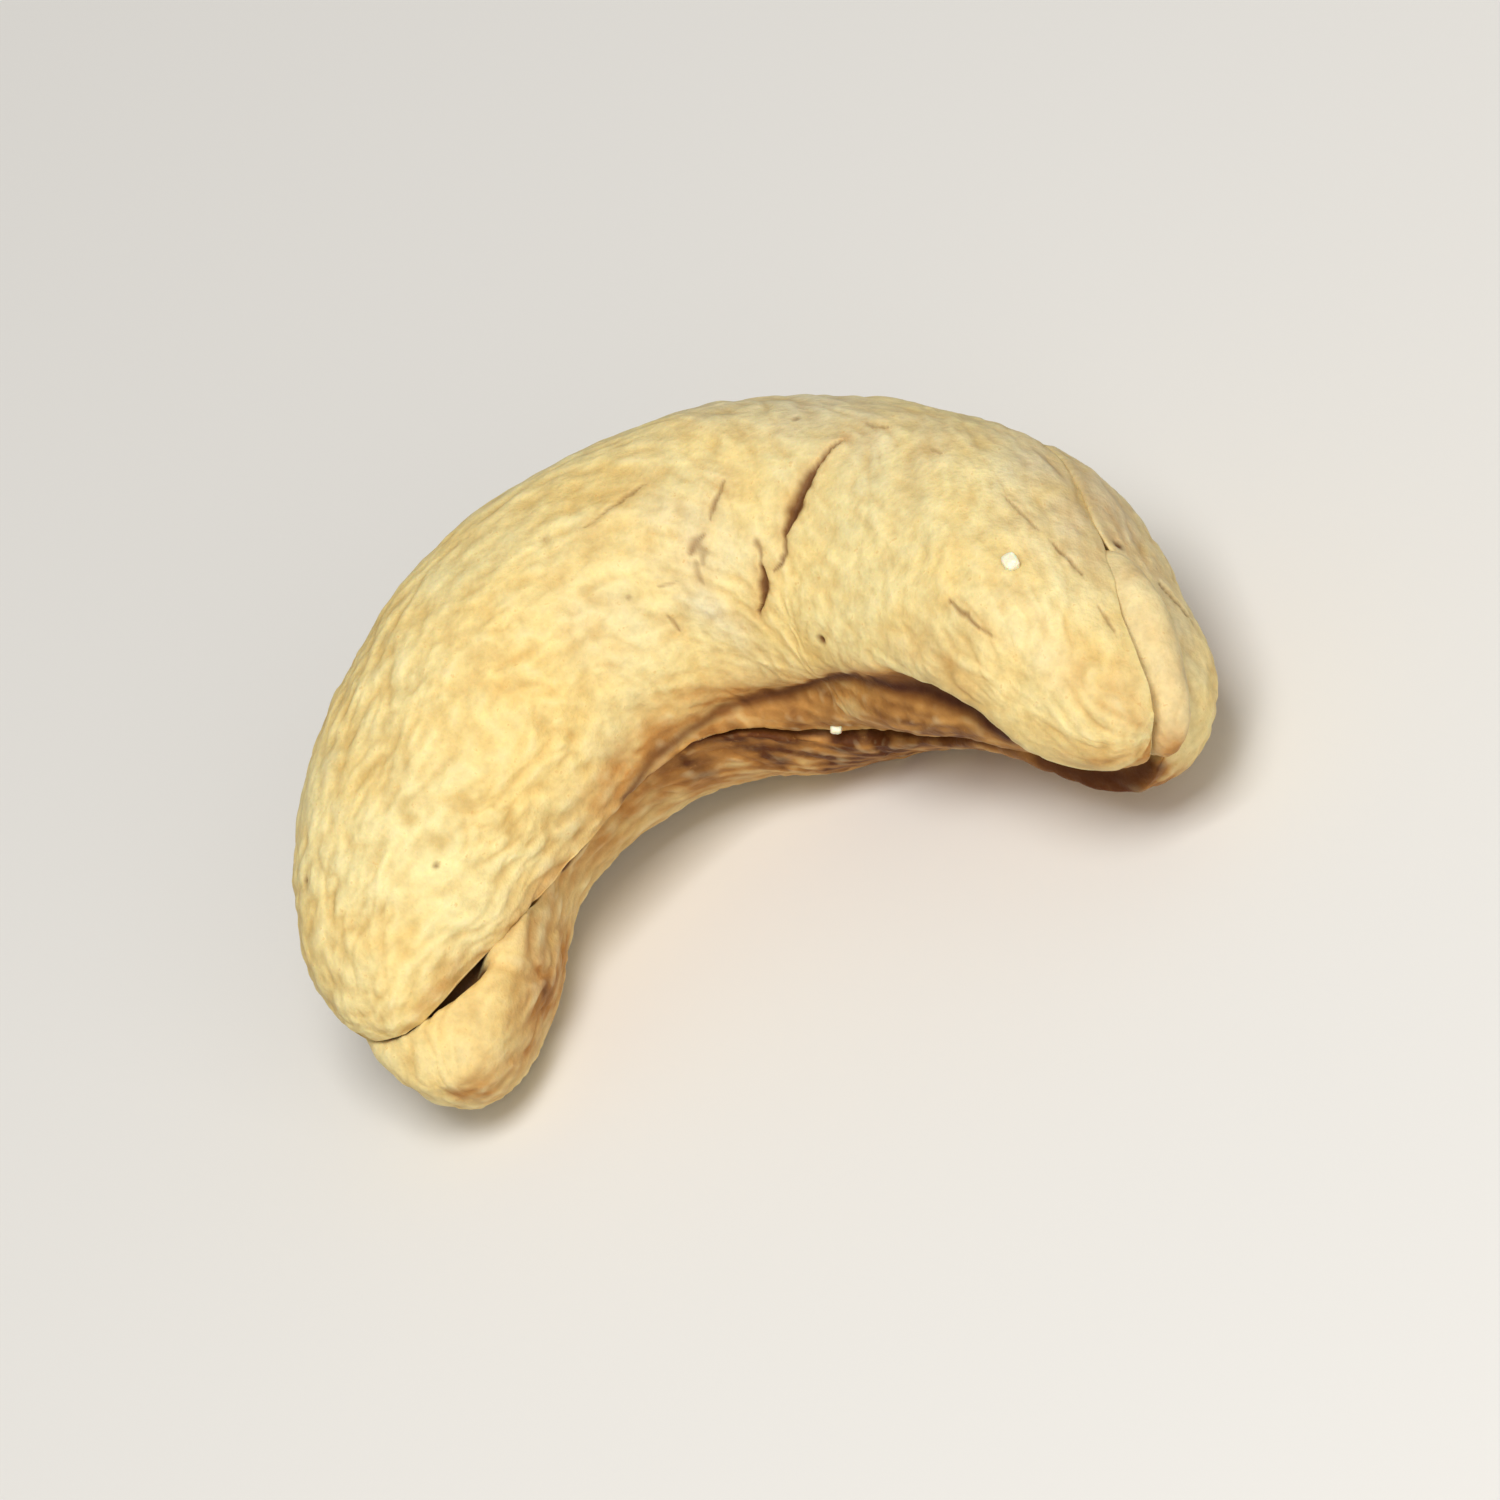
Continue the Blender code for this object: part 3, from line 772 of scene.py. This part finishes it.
# %% Make the halves
RIM_FADE = np.radians(14)
RELIEF_AT_RIM = 0.75  # relief left on the thin rims
CLEFT_START, CLEFT_FADE = 0.10, 0.25  # in mm inside the other half's outline
# How dark the painted shade in the seam is at shares of the length.
CLEFT_DARK = ((0.00, 0.5), (0.04, 0.55), (0.06, 0.7), (0.11, 0.7), (0.14, 0.5), (0.24, 0.6), (0.30, 1.0),
              (0.72, 1.0), (0.80, 0.30), (0.96, 0.30), (1.00, 0.8))
# The lower half's rise: how far at shares of the length, over what distance it falls off outside and
# inside the upper half's outline, and round which part of the section it reaches.
RISE = ((0.00, 0.50), (0.03, 0.80), (0.06, 0.86), (0.10, 0.87), (0.14, 0.88), (0.17, 0.86), (0.20, 0.70),
        (0.24, 0.30), (0.28, 0.00), (0.72, 0.00), (0.78, 0.30), (0.86, 0.85), (0.89, 0.70), (0.93, 0.15),
        (0.96, 0.00))
RISE_OUTSIDE, RISE_INSIDE = 1.30, 0.35
RISE_MIDDLE, RISE_HALF, RISE_FADE = math.radians(265), math.radians(97), math.radians(9)
SLIT_DEPTH, SLIT_SHARE, SLIT_LENGTH, SLIT_WIDTH = 1.00, 0.076, 0.021, 0.36
SLIT_ASIDE = 0.08  # how far its middle lies inside the upper half's outline
SLIT_START, SLIT_FADE = math.radians(200), math.radians(5)
# Painted shade in the slit: how dark it is, and how sharply that ends.
SLIT_DARK, SLIT_EDGE = 0.7, 3  # how dark it is, and how sharply that ends
SWELLS = {
    # share of the length, turn in degrees, swelling in mm, length as a share, width in degrees
    UPPER: ((0.745, 6, 0.18, 0.05, 16), (0.848, 138, -0.70, 0.045, 15), (0.795, 137, -0.35, 0.035, 13)),
    LOWER: ((0.80, 0, 0.20, 0.06, 16), (0.083, 140, -0.12, 0.028, 15)),
}


def moved_tips(tips, form, grid):
    """The two tips, moved as far as the rows next to them were on average."""
    return tips + np.stack([(grid[k] - form[k]).mean(axis=0) for k in (0, -1)])


def rise_and_slit(share, turn, under):
    """How far the lower half rises towards the upper one, and how deep the slit is that is left."""
    from_middle = np.abs((turn - RISE_MIDDLE + np.pi) % (2 * np.pi) - np.pi)
    rise = np.interp(share, *np.array(RISE).T) * past(RISE_HALF, from_middle, RISE_FADE)
    rise = rise * bump(under, 0, np.where(under > 0, RISE_INSIDE, RISE_OUTSIDE))
    slit = SLIT_DEPTH * bump(share, SLIT_SHARE, SLIT_LENGTH) * bump(under, SLIT_ASIDE, SLIT_WIDTH)
    return rise, slit * (turn < RISE_MIDDLE) * past(turn, SLIT_START, SLIT_FADE)


def skin(half, name, seed):
    """One half with its skin."""
    polar, turn = half_grid(half)
    both = half_form(half, polar.ravel(), turn.ravel())
    form, straight = (array.reshape(*polar.shape, 3) for array in both)
    share = share_of(polar)
    inner = np.clip(-np.sin(turn) / math.sin(RIM_FADE), 0, 1)
    under = covered(half, straight)
    cleft = np.clip((under - CLEFT_START) / CLEFT_FADE, 0, 1) * inner
    seam_dark = cleft * np.interp(share, *np.array(CLEFT_DARK).T)

    depth, dark, halo = damage(half, form, seed)
    swell = sum(amount * spot(share, turn, at, degrees, length, wide)
                for at, degrees, amount, length, wide in SWELLS[half])
    calm = (1 - (1 - RELIEF_AT_RIM) * inner) * (1 - cleft)
    broad, fine = wrinkles(straight, seed)
    relief = (broad + fine) * calm - depth + swell
    grid = form + normals_of(form, half) * relief[..., None]
    if half == LOWER:
        rise, slit = rise_and_slit(share, turn, under)
        grid += (rise - slit)[..., None] * (0, -np.sin(LEAN), np.cos(LEAN))
        slit_dark = SLIT_DARK * np.clip(slit / SLIT_DEPTH * SLIT_EDGE - 1, 0, 1)
        seam_dark = np.maximum(seam_dark, slit_dark)
    grid[..., 2] = np.maximum(grid[..., 2], 0)
    ends = np.array([0.0, np.pi])
    tips = moved_tips(half_form(half, ends, ends)[0], form, grid)

    toast, chalk = browning(half, share, turn, straight, seed)
    # One mask for the cracks and pits and for the painted shade of the seam, the slit and the shade lines.
    crack = np.maximum.reduce([dark, seam_dark, shade_lines(half, form)])
    masks = {"crack": crack, "toast": np.maximum(toast, halo), "chalk": chalk, "wrinkle": fine * calm}
    return closed_mesh(name, grid, tips, half, masks)


upper_half = skin(UPPER, "upper_half_skin", 11)
lower_half = skin(LOWER, "lower_half_skin", 37)

# %% [markdown]
# ## The germ
#
# The germ lies between the halves at the right tip and shows as a narrow strip. It is a smooth, long
# drop: an ellipsoid that swells towards its inner end, where it fills the seam, and has fainter
# wrinkles than the halves have. Its outer end, at the kernel's tip, is browner.

# %% Make the germ
GERM_ROWS, GERM_SIDES, GERM_SEED = 110, 80, 71
GERM_WRINKLES = 0.6  # of the halves' wrinkles
GERM_SWELL, GERM_SWELL_PLACE = 0.24, (2.2, 0.8)  # in mm, and its polar and spread
GERM_TOAST, GERM_BLOTCH, GERM_BLOTCH_SEED = 0.06, 0.14, 5
GERM_TIP_TOAST, GERM_TIP_PLACE = 0.50, (0.0, 0.55)
GERM_CHALK = 0.3


def germ_form(polar, turn):
    """Places of the germ and its own coordinates: an ellipsoid laid along the rim near the germ tip."""
    values, ahead, outward = middle_line(np.full_like(polar, GERM_SHARE))
    long_way, cross_way = germ_directions(ahead, outward)
    long_part = GERM_LONG * np.cos(polar)
    cross_part = GERM_WIDE * np.sin(polar) * np.cos(turn)
    offset = (GERM_X, GERM_Y) - values[:, :2]
    offset = offset + long_way * long_part[:, None] + cross_way * cross_part[:, None]
    along = np.sum(offset * ahead, axis=1)
    across = np.sum(offset * outward, axis=1)
    height = GERM_THICK * np.sin(polar) * np.sin(turn) - GERM_DROP
    values[:, :2] += ahead * along[:, None]
    return place(values, outward, across, height), np.column_stack([long_part, cross_part, height])


polar, turn = closed_grid(GERM_ROWS, GERM_SIDES)
form, straight = (array.reshape(*polar.shape, 3) for array in germ_form(polar.ravel(), turn.ravel()))
broad, fine = wrinkles(straight, GERM_SEED)
germ_relief = GERM_WRINKLES * (broad + fine) + GERM_SWELL * bump(polar, *GERM_SWELL_PLACE)
germ_grid = form - normals_of(form, 1) * germ_relief[..., None]
germ_tips = moved_tips(germ_form(np.array([0.0, np.pi]), np.zeros(2))[0], form, germ_grid)
germ_toast = GERM_TOAST + GERM_BLOTCH * Lattice(GERM_BLOTCH_SEED)(straight)
germ_toast += GERM_TIP_TOAST * bump(polar, *GERM_TIP_PLACE)
germ = closed_mesh("germ_skin", germ_grid, germ_tips, -1, {
    "crack": 0 * polar, "toast": germ_toast, "chalk": GERM_CHALK + 0 * polar,
    "wrinkle": GERM_WRINKLES * fine,
})

# %% [markdown]
# ## Grains of salt
#
# Two grains of salt stick to the kernel, one on its right side and one in the seam of the crook. A
# grain is a worn cube: a ball whose three directions are raised to a power under 1, so that it turns
# squarish, with a little noise. It sits a third of its height deep.

# %% Make the grains
GRAIN_ROWS, GRAIN_SIDES = 28, 40
GRAIN_POWER = 0.62  # 1 is round and lower is squarer
GRAIN_WEAR, GRAIN_WEAR_SIZE = 0.10, 2.1
BESIDE = (0.002, 0.5)  # steps in share and in degrees to two points beside a grain
GRAINS = (
    # name  share of the length, turn in degrees, half sizes in mm, seed
    ("salt_grain_right", 0.8559, 45.6, (0.26, 0.23, 0.20), 3),
    ("salt_grain_crook", 0.5997, 178.5, (0.17, 0.15, 0.13), 8),
)


def grain(name, share, degrees, sizes, seed):
    """A grain of salt on the upper half: x, y and z of a ball, each raised to a power under 1 and
    scaled by half the grain's size, then roughened and laid along the skin."""
    near = [(share, degrees), (share + BESIDE[0], degrees), (share, degrees + BESIDE[1])]
    foot, ahead_of, beside = on_form(UPPER, near)
    normal = np.cross(beside - foot, ahead_of - foot)
    normal /= np.linalg.norm(normal)
    first = (ahead_of - foot) / np.linalg.norm(ahead_of - foot)
    axes = np.stack([first, np.cross(normal, first), normal])
    polar, turn = closed_grid(GRAIN_ROWS, GRAIN_SIDES)
    ball = np.stack([np.sin(polar) * np.cos(turn), np.sin(polar) * np.sin(turn), np.cos(polar)], axis=-1)
    wear = 1 + GRAIN_WEAR * Lattice(seed)(ball * GRAIN_WEAR_SIZE)
    worn = signed_power(ball, GRAIN_POWER) * wear[..., None] * sizes
    ends = np.array([[0, 0, sizes[2]], [0, 0, -sizes[2]]])
    grid, tips = (foot + (points + (0, 0, sizes[2] / 3)) @ axes for points in (worn, ends))
    return closed_mesh(name, grid, tips, -1, {})


grains = [grain(*row) for row in GRAINS]

# %% [markdown]
# ## Building materials
#
# Every material here is a small tree of nodes, and the same few kinds of node come back in all of them.
# One class adds such a node, sets its properties and fills its inputs. A link is made wherever an
# input is given a socket instead of a value.


# %% Make the node helpers
class Tree:
    """A tree of nodes, with a short way to add each kind of node that the materials need."""

    def __init__(self, tree):
        self.tree = tree

    def fill(self, node, inputs):
        """Fills inputs of a node. A value that is a socket is linked and any other value is set."""
        for name, value in inputs.items():
            if isinstance(value, bpy.types.NodeSocket):
                self.tree.links.new(value, node.inputs[name])
            else:
                node.inputs[name].default_value = value

    def add(self, kind, inputs=None, **properties):
        """A new node with its properties and inputs."""
        made = self.tree.nodes.new(kind)
        for name, value in properties.items():
            setattr(made, name, value)
        self.fill(made, inputs or {})
        return made

    def mix(self, factor, first, second, blend="MIX"):
        """Two colours, mixed by the factor: sockets 0, 6 and 7 are the factor and the two colours."""
        inputs = {0: factor, 6: first, 7: second}
        return self.add("ShaderNodeMix", inputs, data_type="RGBA", blend_type=blend).outputs[2]

    def ramp(self, value, low, high, new_low=0.0, new_high=1.0):
        """A value carried from one range to another, and kept inside it."""
        inputs = {"Value": value, "From Min": low, "From Max": high, "To Min": new_low, "To Max": new_high}
        return self.add("ShaderNodeMapRange", inputs).outputs["Result"]

    def calculate(self, operation, first, second):
        """A sum, product or other operation on two values."""
        return self.add("ShaderNodeMath", {0: first, 1: second}, operation=operation).outputs[0]

    def noise(self, where, size, detail=3.0):
        """Noise whose blotches are about the given size, in mm."""
        inputs = {"Vector": where, "Scale": 1 / (size * MM), "Detail": detail, "Roughness": 0.55}
        return self.add("ShaderNodeTexNoise", inputs).outputs["Fac"]

    def bump(self, height, distance):
        """Normals that lean as if the surface had this height, which is 1 at the given distance."""
        inputs = {"Height": height, "Distance": distance}
        return self.add("ShaderNodeBump", inputs).outputs["Normal"]


print("nodes that a tree can add:", [name for name in vars(Tree) if not name.startswith("_")])

# %% [markdown]
# ## Roasted flesh
#
# The halves and the germ share one effect, so it is a node group, with a socket for every mask and colour.
# It starts from pale flesh and lays one colour over another: soft yellow blotches, chalk, two stages of
# browning, which in the crook and beside the seams is painted shade, darker valleys of the wrinkles, which
# are partly roasting's tone and partly painted shade, paler ridges, which are a painted highlight, specks,
# and the cracks with their brown edge and dark middle, whose mask also carries the painted shade of the
# seams. A ramp turns a mask or a noise into how much of the next colour shows: it is given a range of the
# one and what it becomes at both ends. The group gives out a colour, a roughness and a fine grain for the
# bump, and the shader itself stays in the material.

# %% Build the flesh group
# The crack mask also carries painted shade in the seams, the slit and the creases, and the toast mask
# carries painted shade in the crook.
MASKS = ("Crack", "Toast", "Chalk", "Wrinkle")
COLOURS = ("Pale", "Yellow", "Tan", "Brown", "Dark", "Chalky")
BROAD, MIDDLING, FINE = 3.2, 0.75, 0.20  # sizes of the three noises in mm
FINE_DETAIL = 4.0  # of the fine one, which shows closest up
MIDDLING_GRAIN = 0.6  # how much of the middling noise is in the grain
# The wrinkles' valleys are darkened, partly as roasting's browner tone and partly as painted shade, and
# their ridges are paled as a painted highlight.
VALLEY_TINT_AND_SHADE, RIDGE_HIGHLIGHT = (0.72, 0.56, 0.36, 1.0), (0.90, 0.79, 0.46, 1.0)

flesh_group = bpy.data.node_groups.new("roasted_flesh", "ShaderNodeTree")
for in_out, sockets in (
    ("INPUT", {"Place": "Vector", **dict.fromkeys(MASKS, "Float"), **dict.fromkeys(COLOURS, "Color")}),
    ("OUTPUT", {"Color": "Color", "Roughness": "Float", "Grain": "Float"}),
):
    for socket, kind in sockets.items():
        flesh_group.interface.new_socket(socket, in_out=in_out, socket_type="NodeSocket" + kind)

flesh = Tree(flesh_group)
given = flesh.add("NodeGroupInput").outputs
broad = flesh.noise(given["Place"], BROAD)
middling = flesh.noise(given["Place"], MIDDLING)
fine = flesh.noise(given["Place"], FINE, FINE_DETAIL)

toast = flesh.calculate("MULTIPLY", given["Toast"], flesh.ramp(middling, 0.3, 0.7, 0.8, 1.15))
crack = flesh.calculate("ADD", given["Crack"], flesh.ramp(middling, 0.3, 0.7, -0.06, 0.06))
blotch = flesh.calculate("MULTIPLY", flesh.ramp(middling, 0.35, 0.65, 0.92, 1.04),
                         flesh.ramp(fine, 0.32, 0.68, 0.92, 1.06))
shade = flesh.add("ShaderNodeCombineColor", {0: blotch, 1: blotch, 2: blotch}).outputs[0]

colour = given["Pale"]
for cover, over, blend in (
    # how much of it covers the colour below, the colour, and how it is laid on
    (flesh.ramp(broad, 0.38, 0.62), given["Yellow"], "MIX"),
    (given["Chalk"], given["Chalky"], "MIX"),
    # Two stages of browning; in the crook and beside the seams this brown is painted shade.
    (flesh.ramp(toast, 0.0, 0.55), given["Tan"], "MIX"),
    (flesh.ramp(toast, 0.50, 1.0), given["Brown"], "MIX"),
    (1.0, shade, "MULTIPLY"),
    # Painted shade in the valleys, partly roasting's tone, and a painted highlight on the ridges.
    (flesh.ramp(given["Wrinkle"], -0.08, 0.0, 0.62, 0.0), VALLEY_TINT_AND_SHADE, "MULTIPLY"),
    (flesh.ramp(given["Wrinkle"], 0.0, 0.05, 0.0, 0.36), RIDGE_HIGHLIGHT, "MIX"),
    (flesh.ramp(fine, 0.64, 0.72, 0.0, 0.35), given["Tan"], "MIX"),
    # Cracks, and the painted shade of the seams, which shares their mask.
    (flesh.ramp(crack, 0.08, 0.62, 0.0, 0.92), given["Brown"], "MIX"),
    (flesh.ramp(crack, 0.65, 1.0), given["Dark"], "MIX"),
):
    colour = flesh.mix(cover, colour, over, blend)

grain_height = flesh.calculate("ADD", flesh.calculate("MULTIPLY", middling, MIDDLING_GRAIN), fine)
roughness = flesh.ramp(middling, 0.3, 0.7, 0.52, 0.66)
flesh.add("NodeGroupOutput", {"Color": colour, "Roughness": roughness, "Grain": grain_height})
print("nodes in the flesh group:", len(flesh_group.nodes))

# %% [markdown]
# ## The three flesh materials
#
# Each material places the group with its own colours and reads the masks of its own mesh. Light goes
# a little way into the flesh, so the shader has some subsurface scattering, which softens the shading
# and warms the thin rims.

# %% Make the flesh materials
GRAIN_DEPTH = 0.042 * MM
DARK, CHALKY = (0.065, 0.016, 0.004), (0.78, 0.68, 0.42)
FLESH_COLOURS = {
    # pale, yellow, tan and brown
    "upper_half": ((0.85, 0.715, 0.345), (0.84, 0.638, 0.255), (0.56, 0.285, 0.078), (0.18, 0.066, 0.014)),
    "lower_half": ((0.855, 0.715, 0.345), (0.84, 0.635, 0.260), (0.50, 0.240, 0.060), (0.11, 0.032, 0.005)),
    "germ": ((0.80, 0.655, 0.33), (0.77, 0.59, 0.265), (0.50, 0.260, 0.080), (0.18, 0.065, 0.014)),
}


def new_material(name):
    """A new material, its tree and its shader."""
    material = bpy.data.materials.new(name)
    material.use_nodes = True
    return material, Tree(material.node_tree), material.node_tree.nodes["Principled BSDF"]


def flesh_material(name, colours):
    """A flesh material with its own pale, yellow, tan and brown."""
    material, tree, shader = new_material(name)
    group = tree.add("ShaderNodeGroup", node_tree=flesh_group)
    tree.fill(group, {"Place": tree.add("ShaderNodeTexCoord").outputs["Object"]})
    for mask in MASKS:
        reader = tree.add("ShaderNodeAttribute", attribute_name=mask.lower())
        tree.fill(group, {mask: reader.outputs["Fac"]})
    for socket, value in zip(COLOURS, (*colours, DARK, CHALKY)):
        group.inputs[socket].default_value = (*value, 1)
    tree.fill(shader, {
        "Base Color": group.outputs["Color"],
        "Roughness": group.outputs["Roughness"],
        "Normal": tree.bump(group.outputs["Grain"], GRAIN_DEPTH),
        "IOR": 1.45,
        "Specular IOR Level": 0.20,
        "Subsurface Weight": 0.20,
        "Subsurface Radius": (1.0, 0.55, 0.22),
        "Subsurface Scale": 0.5 * MM,
    })
    return material


for piece, node in ((upper_half, "upper_half"), (lower_half, "lower_half"), (germ, "germ")):
    piece.data.materials.append(flesh_material(node + "_flesh", FLESH_COLOURS[node]))
    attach(piece, "root")
    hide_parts(node)
print("flesh materials:", sorted(FLESH_COLOURS))

# %% [markdown]
# ## Salt
#
# A grain of salt is a clear crystal with a worn, frosted surface, which looks white and lets some light
# through. Scattering gives that more cheaply than glass, and fine noise frosts it.

# %% Make the salt
SALT_COLOURS = (0.86, 0.80, 0.56, 1), (0.93, 0.89, 0.70, 1)
FROST, FROST_DEPTH = 0.12, 0.02 * MM  # size in mm of the frosting's noise, and its depth

salt, salt_tree, salt_shader = new_material("salt")
frost = salt_tree.noise(salt_tree.add("ShaderNodeTexCoord").outputs["Object"], FROST)
salt_tree.fill(salt_shader, {
    "Base Color": salt_tree.mix(frost, *SALT_COLOURS),
    "Roughness": salt_tree.ramp(frost, 0.3, 0.7, 0.2, 0.45),
    "Normal": salt_tree.bump(frost, FROST_DEPTH),
    "Subsurface Weight": 0.5,
    "Subsurface Scale": 0.3 * MM,
})
for piece in grains:
    piece.data.materials.append(salt)
    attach(piece, "root")
print("grains of salt:", len(grains))

# %% [markdown]
# ## Floor and light
#
# The kernel lies on pale paper. The light is plain and soft: a wide lamp beside the camera and a
# little above it, as from a window behind the viewer, and a bright room that fills the shadows.

# %% Set the floor and the lights
FLOOR_HALF = 3.0  # metres, so that its edge is never seen
PAPER, ROOM = (0.80, 0.785, 0.755, 1), (1.0, 0.985, 0.965, 1)
ROOM_STRENGTH = 0.28
LAMPS = (
    # name; direction to the camera's right, up and back; distance and size in metres; watts; colour
    ("key", (-0.25, 0.32, 0.92), 0.40, 0.16, 1.23, (1.0, 0.985, 0.955)),
    ("fill", (0.25, -0.05, 1.0), 0.45, 0.30, 0.53, (1.0, 0.985, 0.96)),
)

floor_mesh = bpy.data.meshes.new("floor")
floor_corners = [(x * FLOOR_HALF, y * FLOOR_HALF, 0) for x, y in ((-1, -1), (1, -1), (1, 1), (-1, 1))]
floor_mesh.from_pydata(floor_corners, [], [(0, 1, 2, 3)])
floor = bpy.data.objects.new("floor", floor_mesh)
bpy.context.scene.collection.objects.link(floor)
paper, paper_tree, paper_shader = new_material("pale_paper")
paper_tree.fill(paper_shader, {"Base Color": PAPER, "Roughness": 0.9})
floor_mesh.materials.append(paper)


def soft_light(name, towards, far, size, power, colour):
    """A square lamp of the given size, aimed at the kernel."""
    light = bpy.data.lights.new(name, "AREA")
    light.shape, light.size, light.energy, light.color = "SQUARE", size, power, colour
    lamp = bpy.data.objects.new(name, light)
    bpy.context.scene.collection.objects.link(lamp)
    direction = turned @ np.array(towards, dtype=float)
    direction /= np.linalg.norm(direction)
    side = np.cross((0.0, 0.0, 1.0), direction)
    side /= np.linalg.norm(side)
    axes = np.stack([side, np.cross(direction, side), direction], axis=1)
    lamp.location = AIM + direction * far
    lamp.rotation_euler = Matrix(axes.tolist()).to_euler()


for row in LAMPS:
    soft_light(*row)

room = bpy.data.worlds.new("room")
room.use_nodes = True
room.node_tree.nodes["Background"].inputs["Color"].default_value = ROOM
room.node_tree.nodes["Background"].inputs["Strength"].default_value = ROOM_STRENGTH
bpy.context.scene.world = room
bpy.context.scene.view_settings.view_transform = "Standard"
print("lamps:", [name for name, *_ in LAMPS])

# %% [markdown]
